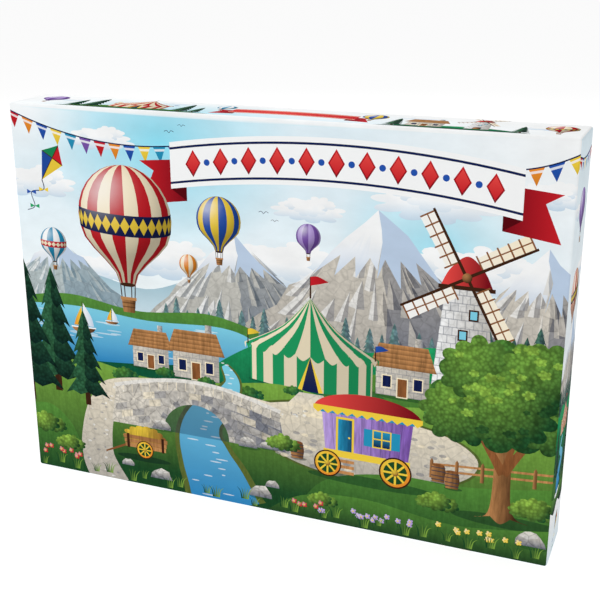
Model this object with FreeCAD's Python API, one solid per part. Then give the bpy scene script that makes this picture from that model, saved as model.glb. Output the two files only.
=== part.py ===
"""A flat, wide game box: a full-depth lid pushed over a base tray.

Each of the two is folded from one blank of thick board and wrapped in paper, whose edge is turned
in over the rim and glued down inside. Units are millimetres, and +Z is up.
The closed box stands on one of its two long sides, as it does on a shelf. X runs along its width,
and Y from its printed front to its back. The origin is on the floor, under the box's middle.
"""

import FreeCAD, Part
import os

# The closed box, measured outside
BOX_WIDTH = 500.0
BOX_HEIGHT = 358.0
BOX_DEPTH = 60.0

# How far the lid reaches from its printed panel towards the back
LID_DEPTH = 58.0

# The wrapped board, and the radius inside its folds and corners
BOARD = 2.0
FOLD_INNER_RADIUS = 0.6

# The running gap between the lid's walls and the tray's, on each side
SIDE_CLEARANCE = 0.75

# The wrap's edge, turned in over the rim
WRAP = 0.2
TURN_IN = 16.0
RIM_RADIUS = 0.6

# What is cut off the turned-in edge in each corner, so that it folds flat
TRIM = 6.0
TRIM_START = 1.5

FRONT = -BOX_DEPTH / 2
BACK = BOX_DEPTH / 2
MIDDLE = BOX_HEIGHT / 2
FOLD_OUTER_RADIUS = FOLD_INNER_RADIUS + BOARD

TOUCH = 1e-4


def block(width, height, start, end):
    """A plain block round the box's middle line, from start to end along Y."""
    corner = FreeCAD.Vector(-width / 2, min(start, end), MIDDLE - height / 2)
    return Part.makeBox(width, abs(end - start), height, corner)


def edges_along_depth(solid):
    """The straight edges that run along Y."""
    return [edge for edge in solid.Edges if edge.BoundBox.YLength > max(edge.BoundBox.XLength, TOUCH)]


def edges_at(solid, place):
    """The edges that lie wholly at this place along Y."""
    boxes = [(edge, edge.BoundBox) for edge in solid.Edges]
    return [edge for edge, box in boxes if abs(box.YMin - place) < TOUCH and abs(box.YMax - place) < TOUCH]


def prism(width, height, start, end, radius):
    """A block with its four corners rounded, as where two walls meet."""
    solid = block(width, height, start, end)
    return solid.makeFillet(radius, edges_along_depth(solid))


def folded_prism(width, height, start, end, radius):
    """A prism whose edges at start are rounded too, as where walls fold up from a panel."""
    solid = prism(width, height, start, end, radius)
    return solid.makeFillet(radius, edges_at(solid, start))


def turned_in_edge(width, height, rim, inner_end, cavity):
    """The band of wrap glued inside the walls behind the rim, mitred in its four corners."""
    beyond = rim + (rim - inner_end)
    board_face = prism(width, height, inner_end, beyond, FOLD_INNER_RADIUS)
    wrap_radius = max(FOLD_INNER_RADIUS - WRAP, FOLD_INNER_RADIUS / 4)
    wrap_face = prism(width - 2 * WRAP, height - 2 * WRAP, inner_end, beyond, wrap_radius)
    band = board_face.cut(wrap_face).common(cavity)
    for trim in corner_trims(width, height, rim, inner_end):
        band = band.cut(trim)
    return band


def corner_trims(width, height, rim, inner_end):
    """The pyramid of wrap that is cut away in each corner, with its tip just behind the rim."""
    towards_panel = 1 if inner_end > rim else -1
    tip = rim + towards_panel * TRIM_START
    base = inner_end + towards_panel * WRAP
    for side in (-1, 1):
        for level in (-1, 1):
            x = side * width / 2
            z = MIDDLE + level * height / 2
            apex = Part.Vertex(x, tip, z)
            outline = Part.makePolygon([
                FreeCAD.Vector(x + side * TRIM, base, z + level * TRIM),
                FreeCAD.Vector(x - side * TRIM, base, z + level * TRIM),
                FreeCAD.Vector(x - side * TRIM, base, z - level * TRIM),
                FreeCAD.Vector(x + side * TRIM, base, z - level * TRIM),
                FreeCAD.Vector(x + side * TRIM, base, z + level * TRIM),
            ])
            yield Part.makeLoft([apex, outline], True, True)


def folded_tray(width, height, panel, rim):
    """One tray of wrapped board, open at its rim.

    width and height are measured outside. panel is the place along Y of the outer face of its
    panel, and rim is the place where its four walls end.
    """
    towards_panel = 1 if panel > rim else -1
    panel_inside = panel - towards_panel * BOARD
    past_rim = rim - towards_panel * TURN_IN
    bare_width = width - 2 * BOARD
    bare_height = height - 2 * BOARD

    outside = folded_prism(width, height, panel, rim, FOLD_OUTER_RADIUS)
    cavity = folded_prism(bare_width, bare_height, panel_inside, past_rim, FOLD_INNER_RADIUS)
    band = turned_in_edge(bare_width, bare_height, rim, rim + towards_panel * TURN_IN, cavity)
    tray = outside.cut(cavity.cut(band))
    rim_radius = min(RIM_RADIUS, 0.4 * BOARD)
    tray = tray.makeFillet(rim_radius, edges_at(tray, rim))
    return tray.removeSplitter().Solids[0]


def lid():
    """The printed lid: its panel is the box's front, and its walls reach almost to the back."""
    return folded_tray(BOX_WIDTH, BOX_HEIGHT, FRONT, FRONT + LID_DEPTH)


def base_tray():
    """The base: its panel is the box's back, and its rim meets the inside of the lid's panel."""
    smaller = 2 * (BOARD + SIDE_CLEARANCE)
    return folded_tray(BOX_WIDTH - smaller, BOX_HEIGHT - smaller, BACK, FRONT + BOARD)


PIECES = {"lid": lid, "base_tray": base_tray}


def main():
    os.makedirs("parts", exist_ok=True)
    for name, make in PIECES.items():
        shape = make()
        print(name, shape.ShapeType, "valid", shape.isValid(), "volume", round(shape.Volume, 1))
        shape.exportStep(os.path.join("parts", name + ".step"))


main()
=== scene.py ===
"""The looks of a lidded toy box that stands on one long side: a printed lid over a plain white base tray.

Each tray is one closed skin, laid out flat as the wrap is before it is folded, and then folded round the
board. The lid's print is drawn on that flat wrap with outlines filled with colour, so the picture runs over
the folds without a seam. Lengths are in millimetres until the vertices are made.
"""

import math
import random

import bpy
import numpy as np
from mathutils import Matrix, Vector
from mathutils.geometry import delaunay_2d_cdt


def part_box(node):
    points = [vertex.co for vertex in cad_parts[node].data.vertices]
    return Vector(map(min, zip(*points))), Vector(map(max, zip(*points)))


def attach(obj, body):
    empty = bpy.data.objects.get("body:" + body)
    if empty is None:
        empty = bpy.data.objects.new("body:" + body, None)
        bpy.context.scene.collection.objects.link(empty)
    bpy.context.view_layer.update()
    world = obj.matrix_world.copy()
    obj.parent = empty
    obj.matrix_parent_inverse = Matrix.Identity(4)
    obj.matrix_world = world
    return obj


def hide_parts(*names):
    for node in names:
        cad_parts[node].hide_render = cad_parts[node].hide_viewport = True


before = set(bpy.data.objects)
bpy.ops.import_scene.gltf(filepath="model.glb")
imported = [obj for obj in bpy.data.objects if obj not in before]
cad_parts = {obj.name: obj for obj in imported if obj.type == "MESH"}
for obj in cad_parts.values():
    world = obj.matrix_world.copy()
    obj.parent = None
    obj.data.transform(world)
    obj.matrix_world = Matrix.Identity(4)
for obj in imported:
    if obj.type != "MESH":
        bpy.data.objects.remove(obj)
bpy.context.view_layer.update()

MM = 0.001
QUARTER = math.pi / 2

# The folded board and its wrap, as the solids have them
BOARD = 2.0
FOLD_RADIUS = 2.6
WRAP = 0.2
TURN_IN = 16.0
RIM_RADIUS = 0.6
TRIM = 6.0
TRIM_START = 1.5
BOARD_FACE = FOLD_RADIUS - BOARD
WRAP_FACE = BOARD_FACE - WRAP

# How finely the skin is divided
FOLD_STEPS = 6
CORNER_STEPS = 6
RIM_STEPS = 3
GRID = 7.0
SNAP = 5e-4

# What handwork does to the flat panels: they sink a little in the middle, and the wrap laps at the corners
PANEL_SINK = 0.7
LAP_WIDTH = 13.0
LAP_STEP = 0.12
LAP_SLOPE = 0.4

# How far the wrap's cut edge slopes, on the inside of the walls
CUT_SLOPE = 0.1

# Where the inside lies on the bake map: below the flat wrap, in rows, and then the smaller inner panel
MAP_GAP = 6.0
MAP_ROW = 2.2
MAP_LEAST = 0.2
MAP_DROP = 40.0
MAP_SCALE = 0.3
MAP_MARGIN = 0.004


def ink(red, green, blue):
    """A printed colour in linear light, named as an ink mixer would, from 0 to 255."""
    return tuple(((c / 255 + 0.055) / 1.055) ** 2.4 if c > 10 else c / 3294 for c in (red, green, blue))


WHITE = ink(246, 247, 247)
CREAM = ink(246, 232, 200)
SKY_TOP = ink(138, 218, 238)
SKY_LOW = ink(242, 249, 251)
SKY_PALE = ink(224, 239, 246)
CLOUD_SHADE = ink(196, 216, 232)
FAR_BLUE = ink(150, 186, 200)
STONE_LIGHT = ink(214, 207, 194)
STONE = ink(176, 171, 163)
STONE_DARK = ink(110, 114, 126)
STONE_DEEP = ink(56, 60, 74)
SNOW_SHADE = ink(186, 204, 226)
EMERALD = ink(34, 158, 98)
EMERALD_DARK = ink(14, 84, 56)
LEAF_LIGHT = ink(150, 192, 76)
LEAF = ink(88, 142, 58)
LEAF_DARK = ink(28, 72, 38)
PINE_LIGHT = ink(60, 118, 78)
PINE_DARK = ink(8, 36, 32)
OLIVE = ink(126, 132, 58)
RED_LIGHT = ink(226, 70, 66)
RED = ink(196, 30, 40)
RED_DARK = ink(116, 10, 24)
ROYAL = ink(36, 82, 170)
NAVY = ink(18, 30, 76)
TURQUOISE = ink(38, 146, 186)
WATER_LIGHT = ink(126, 204, 226)
WATER = ink(48, 134, 190)
PURPLE = ink(122, 84, 168)
LILAC = ink(178, 152, 214)
YELLOW = ink(240, 206, 66)
ORANGE = ink(232, 140, 44)
BROWN_LIGHT = ink(186, 132, 82)
BROWN = ink(134, 84, 48)
BROWN_DARK = ink(60, 34, 20)
BOARD_GREY = ink(172, 166, 155)

# What the print's texture adds to a field of colour: how much leaf, stone, wood and cloud it has
BARE = (0.0, 0.0, 0.0, 0.0)
LEAFY = (1.0, 0.0, 0.0, 0.0)
GRASSY = (0.22, 0.0, 0.4, 0.0)
STONY = (0.0, 1.0, 0.0, 0.0)
DUSTY = (0.0, 0.5, 0.0, 0.0)
WOODEN = (0.0, 0.0, 1.0, 0.0)
MISTY = (0.0, 0.0, 0.0, 1.0)


def mix(first, second, share):
    """One colour or place on its way to another."""
    share = min(max(share, 0.0), 1.0)
    return tuple(a + (b - a) * share for a, b in zip(first, second))


def dim(colour, factor):
    """A colour made darker or lighter."""
    return tuple(min(c * factor, 1.0) for c in colour)


def upright(low, high, bottom, top):
    """A fill that changes from low to high between two heights."""
    return lambda u, v: mix(low, high, (v - bottom) / (top - bottom))


def across(left, right, start, end):
    """A fill that changes from left to right."""
    return lambda u, v: mix(left, right, (u - start) / (end - start))


def timber(start, end):
    """A fill for a wooden thing, lit from the left."""
    return across(BROWN_LIGHT, BROWN_DARK, start, end)


def lit_round(u0, v0, radius, light, dark):
    """A fill that is lightest up and to the left of a round thing's middle."""
    u0, v0 = u0 - 0.4 * radius, v0 + 0.5 * radius
    return lambda u, v: mix(light, dark, math.hypot(u - u0, v - v0) / (1.5 * radius))


def arc(u, v, ru, rv, count, whole=math.pi):
    """Points round a half turn, or round as much as whole says."""
    turns = [whole * k / count for k in range(count + 1)]
    return [(u + ru * math.cos(a), v + rv * math.sin(a)) for a in turns]


def smooth(*points, closed=False, steps=7):
    """A curve through the points."""
    count = len(points)
    curve = []
    for i in range(count if closed else count - 1):
        if closed:
            p = [points[(i + k - 1) % count] for k in range(4)]
        else:
            p = [points[min(max(i + k - 1, 0), count - 1)] for k in range(4)]
        for step in range(steps):
            t = step / steps
            curve.append(tuple(
                b + 0.5 * t * (c - a + t * (2 * a - 5 * b + 4 * c - d + t * (3 * b - a - 3 * c + d)))
                for a, b, c, d in zip(*p)
            ))
    return curve if closed else curve + [points[-1]]


def scalloped(u, v, ru, rv, lobes, bulge, seed, per_lobe=6):
    """A round outline with lobes, as of a cloud or a crown of leaves."""
    rng = random.Random(seed)
    swell = [rng.uniform(0.6, 1.3) for _ in range(lobes)]
    outline = []
    for i in range(lobes * per_lobe):
        turn, lobe = math.tau * i / (lobes * per_lobe), i / per_lobe
        reach = 1 - bulge + 2 * bulge * swell[int(lobe)] * math.sin(math.pi * (lobe % 1)) ** 0.7
        outline.append((u + ru * reach * math.cos(turn), v + rv * reach * math.sin(turn)))
    return outline


def stroke(path, start, end):
    """The outline of a line along the path, start wide at one end and end wide at the other."""
    sides = ([], [])
    for i, (u, v) in enumerate(path):
        before, after = path[max(i - 1, 0)], path[min(i + 1, len(path) - 1)]
        du, dv = after[0] - before[0], after[1] - before[1]
        length = math.hypot(du, dv) or 1.0
        half = (start + (end - start) * i / (len(path) - 1)) / 2
        sides[0].append((u - dv / length * half, v + du / length * half))
        sides[1].append((u + dv / length * half, v - du / length * half))
    return sides[0] + sides[1][::-1]


def spin(outline, angle, u=0.0, v=0.0):
    """An outline turned round the origin and carried to a place."""
    cos, sin = math.cos(angle), math.sin(angle)
    return [(u + x * cos - y * sin, v + x * sin + y * cos) for x, y in outline]


def clip(outline, width, height):
    """The part of an outline that lies inside a picture."""
    for axis, limit, sign in ((0, 0, 1), (0, width, -1), (1, 0, 1), (1, height, -1)):
        kept = []
        for i, here in enumerate(outline):
            before = outline[i - 1]
            inside = (here[axis] - limit) * sign >= 0
            if inside != ((before[axis] - limit) * sign >= 0):
                kept.append(mix(before, here, (limit - before[axis]) / (here[axis] - before[axis])))
            if inside:
                kept.append(here)
        outline = kept
    return outline


def surrounded(outline, points):
    """Which of the points an outline goes round."""
    u, v = points.T
    turns = np.zeros(len(points), int)
    for (u0, v0), (u1, v1) in zip(outline, outline[1:] + outline[:1]):
        left = (u1 - u0) * (v - v0) > (u - u0) * (v1 - v0)
        turns += (v0 <= v) & (v < v1) & left
        turns -= (v1 <= v) & (v < v0) & ~left
    return turns != 0


class Spot:
    """A place to draw at, with its own origin and scale, so that a motif is drawn in shares of its size."""

    def __init__(self, under, u, v, scale):
        self.under, self.u, self.v, self.scale = under, u, v, scale

    def draw(self, outline, paint, texture=BARE, cover=1.0):
        """Adds a field of colour. cover is how much it hides what is under it."""
        u, v, scale = self.u, self.v, self.scale
        fill = (lambda x, y: paint((x - u) / scale, (y - v) / scale)) if callable(paint) else paint
        self.under.draw([(u + scale * x, v + scale * y) for x, y in outline], fill, texture, cover)

    def at(self, u, v, scale=1.0):
        """A smaller place inside this one."""
        return Spot(self, u, v, scale)

    def box(self, left, low, right, high, *finish, cover=1.0):
        """A rectangle between two corners."""
        self.draw([(left, low), (right, low), (right, high), (left, high)], *finish, cover=cover)

    def oval(self, u, v, ru, rv, *finish, points=28, cover=1.0):
        """A round field."""
        self.draw(arc(u, v, ru, rv, points, math.tau)[:-1], *finish, cover=cover)

    def line(self, path, start, end, *finish, cover=1.0):
        """A line along a path."""
        self.draw(stroke(path, start, end), *finish, cover=cover)

    def heap(self, u, v, radius, flat, lobes, bulge, seed, light, dark, texture=LEAFY):
        """A lobed heap, lit from the upper left."""
        outline = scalloped(u, v, radius, flat * radius, lobes, bulge, seed)
        self.draw(outline, lit_round(u, v, radius, light, dark), texture)


class Picture(Spot):
    """One printed face of the wrap: fields of colour, each drawn over those before it."""

    def __init__(self, left, bottom, width, height, ground):
        self.corner, self.size = (left, bottom), (width, height)
        self.fields = []
        self.box(0, 0, width, height, ground, MISTY)

    def draw(self, outline, paint, texture=BARE, cover=1.0):
        """Adds a field, cut off at the picture's edges."""
        outline = clip(outline, *self.size)
        if len(outline) > 2:
            self.fields.append((outline, paint, texture, cover))

    def holds(self, places):
        """Which places on the wrap are on this picture."""
        offsets = places - self.corner
        return ((offsets >= 0) & (offsets <= self.size)).all(1)

    def layers(self, places):
        """The numbers of the fields that show at each place on the wrap, from the lowest up."""
        points = places - self.corner
        found = [[] for _ in points]
        for number, (outline, _, _, cover) in enumerate(self.fields):
            near = np.flatnonzero(((points > np.min(outline, 0)) & (points < np.max(outline, 0))).all(1))
            for i in near[surrounded(outline, points[near])]:
                found[i] = found[i] + [number] if cover < 1 else [number]
        return found

    def colour(self, fields, s, t):
        """The colour of the numbered fields at a place on the wrap."""
        u, v = s - self.corner[0], t - self.corner[1]
        colour = WHITE
        for number in fields:
            _, paint, _, cover = self.fields[number]
            colour = mix(colour, paint(u, v) if callable(paint) else paint, cover)
        return colour


def scatter(pic, motif, *rows):
    """A motif at several places. Each row has its place and size, and then what else the motif takes."""
    for u, v, size, *more in rows:
        motif(pic.at(u, v, size), *more)


# The print's motifs. Most are drawn from the middle of their foot, with their width or height as 1


def cloud(pic, seed):
    """A heaped cloud with a shaded flat foot."""
    pic.draw(scalloped(0, 0, 0.5, 0.15, 11, 0.14, seed), upright(CLOUD_SHADE, WHITE, -0.15, 0), MISTY)
    for u, v, size in ((-0.2, 0.072, 0.5), (0.16, 0.102, 0.62), (0, 0.03, 0.7)):
        heap = scalloped(u, v, 0.32 * size, 0.15 * size, 8, 0.16, seed + 3)
        pic.draw(heap, upright(CLOUD_SHADE, WHITE, v - 0.21 * size, v), MISTY)


def half_width(y):
    """Half the width of a balloon of radius 1 at a height above its widest place."""
    if y > -0.45:
        return math.sqrt(max(1 - y * y, 0.0))
    t = (-0.45 - y) / 0.87
    return 0.893 * (1 - t) ** 2 * (1 + 1.1 * t) + 0.17 * t * t + 0.25 * t * (1 - t)


def lit_cloth(colour):
    """A fill for a balloon's cloth, shaded as the round thing that it is."""
    light = Vector((-0.48, 0.52, 0.7)).normalized()

    def paint(x, y):
        turn = max(min(x / max(half_width(y), 0.05), 1.0), -1.0)
        up = max(min(y, 1.0), -0.75)
        level = math.sqrt(1 - up * up)
        facing = Vector((turn * level, up, math.sqrt(max(1 - turn * turn, 0)) * level))
        shine = max(facing.dot(light), 0.0)
        return mix(dim(colour, 0.42 + 0.66 * shine), WHITE, 0.55 * shine ** 9)

    return paint


def balloon(pic, cloths, band=None, gores=6):
    """A hot-air balloon with striped cloth, a decorated band, ropes and a wicker basket. Its radius is 1."""
    heights = (1.0, 0.985, 0.95, 0.88, 0.77, 0.62, 0.44, 0.24, 0.02, -0.22, -0.45, -0.66, -0.88, -1.1, -1.32)

    def seam(i):
        return [(half_width(y) * math.sin(math.pi * (i / gores - 0.5)), y) for y in heights]

    for i in range(gores):
        pic.draw(seam(i) + seam(i + 1)[::-1], lit_cloth(cloths[i % 2]))
    if band:
        balloon_band(pic, band, 3 * gores)
    pic.oval(0, -1.32, 0.17, 0.04, BROWN_DARK, points=14)
    for side in (-0.5, -1, 0.5, 1):
        pic.line([(0.16 * side, -1.32), (0.14 * side, -1.62)], 0.022, 0.022, BROWN_DARK)
    basket = [(-0.155, -1.62), (0.155, -1.62), (0.124, -1.88), (-0.124, -1.88)]
    pic.draw(basket, timber(-0.155, 0.186), WOODEN)
    for low in (-1.698, -1.7812):
        pic.box(-0.14415, low, 0.14415, low + 0.025, BROWN_DARK, cover=0.6)
    pic.box(-0.1736, -1.63, 0.1736, -1.57, BROWN_LIGHT)


def balloon_band(pic, band, steps):
    """A band round a balloon with a row of lozenges."""
    def ring(height, dip):
        turns = [math.pi * (i / steps - 0.5) for i in range(steps + 1)]
        return [(half_width(height) * math.sin(a), height - dip * math.cos(a)) for a in turns]

    pic.draw(ring(0.16, 0.12) + ring(-0.22, 0.15)[::-1], lit_cloth(band[0]))
    upper, lower = ring(0.12, 0.12), ring(-0.18, 0.15)
    for i in range(0, steps - 1, 2):
        left, middle, right = [mix(upper[k], lower[k], 0.5) for k in (i, i + 1, i + 2)]
        lozenge = [(left[0], middle[1]), lower[i + 1], (right[0], middle[1]), upper[i + 1]]
        pic.draw(lozenge, lit_cloth(band[1]))


def ridge(start, end, steps, jag, rng):
    """A jagged line between two points."""
    line = [start]
    for i in range(1, steps):
        u, v = mix(start, end, (i + rng.uniform(-0.25, 0.25)) / steps)
        u += rng.uniform(-jag, jag) * 0.5
        line.append((u, v + rng.uniform(-jag, jag)))
    return line + [end]


def mountain(pic, left, right, seed, haze=0.0):
    """A rocky peak, lit from the left, with gullies down both sides and snow on its head. Its height is 1."""
    rng = random.Random(seed)
    stones = (STONE_LIGHT, STONE, STONE_DARK, STONE_DEEP)
    light, middling, dark, deep = [mix(stone, FAR_BLUE, haze) for stone in stones]
    peak = (0, 1)
    spine = ridge((0.08, 0), peak, 9, 0.05, rng)
    for foot, low, high, hollow, rib, snow in (
        (left, middling, light, dark, WHITE, WHITE), (right, dark, middling, deep, light, SNOW_SHADE),
    ):
        side = ridge((foot, 0), peak, 10, 0.04, rng)
        pic.draw(side + spine[::-1], upright(low, high, 0, 1), DUSTY)
        for i in range(16):
            gully(pic, foot, i, hollow, rib, rng)
        hem = [(0.69 if k % 2 else rng.uniform(0.5, 0.62), 0.93 - 0.155 * k) for k in range(7)]
        snowline = [(foot * (1 - v) * aside, v) for v, aside in hem]
        cap = [p for p in side if p[1] > 0.68] + [p for p in spine[::-1] if p[1] > 0.7] + snowline[::-1]
        pic.draw(cap, upright(SNOW_SHADE, snow, 0.5, 0.8), MISTY)


def gully(pic, foot, number, hollow, rib, rng):
    """A dark gully with a lit rib beside it, down one side of a mountain."""
    high, aside = rng.uniform(0.12, 0.86), (number % 8 + rng.uniform(0.2, 0.8)) / 8
    low = high - min(rng.uniform(0.16, 0.34), high)
    head = (foot * (1 - high) * aside, high)
    u = foot * (1 - low) * aside * rng.uniform(0.94, 1.0)
    wide = rng.uniform(0.03, 0.075)
    bend = ((head[0] + u) / 2 + rng.uniform(-0.3, 0.3) * wide, (high + low) / 2)
    for side, colour in ((wide, hollow), (-wide, rib)):
        pic.draw([head, bend, (u, low), (u + side, low + rng.uniform(0.0, 0.3) * wide)], colour, STONY, 0.5)


def hill(pic, bottom, paint, *crest, texture=GRASSY):
    """Ground under a smooth crest line."""
    pic.draw(smooth(*crest) + [(crest[-1][0], bottom), (crest[0][0], bottom)], paint, texture)


def pine(pic, haze=0.0):
    """A pine with ragged tiers, lit from the left."""
    light, dark = mix(PINE_LIGHT, FAR_BLUE, haze), mix(PINE_DARK, FAR_BLUE, haze)
    pic.box(-0.03, 0, 0.03, 0.2, BROWN_DARK, WOODEN)
    for k in range(6):
        foot, half = 0.1 + 0.145 * k, 0.25 * (1 - 0.145 * k)
        tip = min(foot + 0.34, 1)
        hem = [(half * (i / 3 - 1), foot + 0.035 * (i % 2)) for i in range(7)]
        pic.draw([(0, tip)] + hem, upright(dark, mix(dark, light, 0.5), foot, tip), LEAFY)
        lit = [(0, tip)] + hem[:4] + [(-0.12 * half, foot + 0.08)]
        pic.draw(lit, upright(mix(dark, light, 0.4), light, foot, tip), LEAFY)


def leafy_tree(pic, seed):
    """A broad tree with a forked trunk and a heaped crown."""
    rng = random.Random(seed)
    pic.oval(0.05, 0, 0.3, 0.035, PINE_DARK, cover=0.55)
    trunk = smooth((-0.13, 0), (-0.055, 0.07), (-0.045, 0.5))
    trunk += smooth((0.04, 0.5), (0.05, 0.08), (0.14, 0.005))
    pic.draw(trunk + smooth((0.05, 0.02), (0, -0.015), (-0.05, 0.02)), timber(-0.07, 0.07), WOODEN)
    for u, v, wide in ((-0.2, 0.55, 0.05), (0.2, 0.52, 0.05), (0.08, 0.6, 0.035)):
        pic.line(smooth((0, 0.26), (0.5 * u, 0.42), (u, v)), wide, 0.02, BROWN, WOODEN)
    lumps = (
        (0, 0.66, 0.34), (-0.22, 0.56, 0.2), (0.23, 0.57, 0.2),
        (-0.13, 0.78, 0.2), (0.15, 0.8, 0.19), (0, 0.6, 0.22),
    )
    for i, (u, v, radius) in enumerate(lumps):
        pic.heap(u, v, radius, 0.82, 13, 0.09, seed + i, mix(LEAF, LEAF_LIGHT, 0.4 if i else 0), LEAF_DARK)
    for i in range(34):
        turn, reach = rng.uniform(0, math.tau), 0.33 * math.sqrt(rng.random())
        u, v = reach * math.cos(turn), 0.68 + 0.8 * reach * math.sin(turn)
        size = rng.uniform(0.016, 0.034)
        colour = LEAF_LIGHT if v > 0.62 + 0.5 * u else LEAF_DARK
        pic.draw(scalloped(u, v, size, 0.7 * size, 5, 0.2, i, 4), colour, LEAFY, 0.7)


def bush(pic, seed, light=LEAF_LIGHT, dark=LEAF_DARK):
    """A low heap of leaves."""
    for i, (u, size) in enumerate(((-0.3, 0.55), (0.3, 0.6), (0, 0.8))):
        pic.heap(u, 0.2 * size, 0.42 * size, 0.75, 9, 0.12, seed + i, light, dark)


def flowers(pic, width, count, colour, seed):
    """Stems with round petals and yellow eyes, spread over a width in millimetres."""
    rng = random.Random(seed)
    for _ in range(count):
        bloom = pic.at(rng.uniform(-0.5, 0.5) * width, rng.uniform(2, 9))
        bloom.line([(0, -6), (0, 0)], 0.6, 0.4, LEAF_DARK)
        petals = lit_round(0, 0, 2, mix(colour, WHITE, 0.5), colour)
        bloom.draw(scalloped(0, 0, 2.3, 2.2, 5, 0.24, 2, 5), petals)
        bloom.oval(0, 0, 0.8, 0.8, YELLOW, points=8)


def tuft(pic, height, seed):
    """A tuft of grass blades, with its height in millimetres."""
    rng = random.Random(seed)
    for k in range(5):
        lean = (k - 2) * 0.22 * height + rng.uniform(-0.6, 0.6)
        foot = (k - 2) * 0.12 * height
        tip = (foot + lean, height * rng.uniform(0.8, 1.1))
        blade = smooth((foot, 0), (foot + 0.3 * lean, 0.6 * height), tip, steps=4)
        pic.line(blade, 0.13 * height, 0.01, mix(LEAF_DARK, LEAF_LIGHT, k / 6))


def boulder(pic, seed):
    """A rounded stone with a lit top and a shadow under it."""
    rng = random.Random(seed)
    pic.oval(0.08, 0, 0.56, 0.12, LEAF_DARK, points=18, cover=0.5)
    dome = arc(0, 0, 0.5, 0.52, 8)
    stone = [(u * rng.uniform(0.9, 1.1), max(0, v * rng.uniform(0.85, 1.1))) for u, v in dome]
    pic.draw(stone, upright(STONE_DARK, STONE_LIGHT, 0, 0.5), STONY)
    pic.draw([p for p in stone if p[1] > 0.25] + [(-0.1, 0.24)], WHITE, cover=0.25)


def masonry(pic, top, low, high, rows, blocks, dark_corner=False):
    """Courses of cut stone on a wall whose half width goes from low to high, with some darker blocks.

    The block at the right end of a course stays light, unless the wall has a dark corner.
    """
    rise = top / rows
    joint = 0.12 * rise
    for row in range(rows):
        half, level = low + (high - low) * row / rows, rise * row
        pic.box(-half, level, half, level + joint, STONE_DARK, cover=0.55)
        for k in range(blocks):
            u, long = half * (2 * (k + 0.5 * (row % 2)) / blocks - 1), 2 * half / blocks
            pic.box(u, level, u + joint, level + rise, STONE_DARK, cover=0.5)
            if (3 * row + 5 * k) % 7 == 0 and (dark_corner or k < blocks - 1):
                pic.box(u, level, u + long, level + rise, STONE_DARK, cover=0.22)


def cottage(pic, dark_corner=False):
    """A stone cottage with a tiled roof, a chimney, a door and two windows."""
    pic.oval(0.06, 0, 0.62, 0.06, LEAF_DARK, cover=0.6)
    pic.box(0.2, 0.5, 0.33, 1.07, across(STONE_LIGHT, STONE_DARK, 0.2, 0.34), STONY)
    pic.box(-0.46, 0, 0.46, 0.5, across(STONE_LIGHT, STONE, -0.46, 0.46), DUSTY)
    masonry(pic, 0.5, 0.46, 0.46, 5, 7, dark_corner)
    openings = ((0, 0, 0.08, 0.32, BROWN), (-0.27, 0.15, 0.07, 0.2, NAVY), (0.27, 0.15, 0.07, 0.2, NAVY))
    for u, v, half, tall, fill in openings:
        pic.box(u - half - 0.02, v - 0.02, u + half + 0.02, v + tall + 0.02, CREAM)
        pic.box(u - half, v, u + half, v + tall, fill, WOODEN)
    for row in range(5):
        low, half = 0.5 + 0.084 * row, 0.58 - 0.032 * row
        tiles = [(-half, low), (half, low), (half - 0.032, low + 0.084), (0.032 - half, low + 0.084)]
        pic.draw(tiles, upright(dim(BROWN_LIGHT, 0.5), BROWN_LIGHT, low, low + 0.084), WOODEN)


def windmill(pic):
    """A stone tower with a red cap and four latticed sails. Its height without the sails is about 0.85."""
    pic.oval(0.1, 0, 0.32, 0.035, EMERALD_DARK, cover=0.5)
    pic.draw([(-0.19, 0), (0.19, 0), (0.125, 0.66), (-0.125, 0.66)], across(WHITE, STONE, -0.19, 0.19), DUSTY)
    masonry(pic, 0.66, 0.19, 0.125, 13, 6)
    door = [(0.05, 0)] + arc(0, 0.11, 0.05, 0.05, 10) + [(-0.05, 0)]
    pic.draw([(1.25 * u, 1.1 * v) for u, v in door], STONE_DEEP)
    pic.draw(door, timber(-0.05, 0.05), WOODEN)
    for u, v in ((-0.01, 0.33), (0.05, 0.46)):
        pic.box(u - 0.03, v, u + 0.03, v + 0.07, BROWN_DARK)
        pic.box(u - 0.02, v + 0.01, u + 0.02, v + 0.06, WATER_LIGHT)
    cap = smooth((-0.15625, 0.66), (-0.1, 0.77), (0, 0.85), (0.1, 0.77), (0.15625, 0.66))
    pic.draw(cap, across(RED_LIGHT, RED_DARK, -0.125, 0.125))
    pic.box(-0.16875, 0.645, 0.16875, 0.67, BROWN_DARK)
    sail = [([(0.1, 0.01), (0.43, 0.01), (0.43, 0.1), (0.1, 0.085)], across(WHITE, CREAM, -0.4, 0.4))]
    for k in range(6):
        u = 0.1 + 0.066 * k
        sail.append(([(u, 0), (u + 0.01, 0), (u + 0.01, 0.1), (u, 0.1)], BROWN))
    sail.append(([(0.1, 0.05), (0.43, 0.05), (0.43, 0.058), (0.1, 0.058)], BROWN))
    sail.append(([(0, -0.008), (0.45, -0.005), (0.45, 0.01), (0, 0.012)], BROWN_DARK))
    for quarter in range(4):
        for outline, paint in sail:
            pic.draw(spin(outline, math.radians(28 + 90 * quarter), 0, 0.72), paint)
    pic.oval(0, 0.72, 0.03, 0.03, lit_round(0, 0.72, 0.03, BROWN_LIGHT, BROWN_DARK), points=16)


def pennant(pic, colour):
    """A flag on a short pole."""
    pic.line([(0, 0), (0, 1)], 0.09, 0.06, BROWN_DARK)
    flag = smooth((0, 1), (0.35, 1.05), (0.85, 0.84), steps=4) + smooth((0.4, 0.7), (0, 0.6), steps=3)
    pic.draw(flag, across(colour, dim(colour, 0.7), 0, 0.8))


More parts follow.
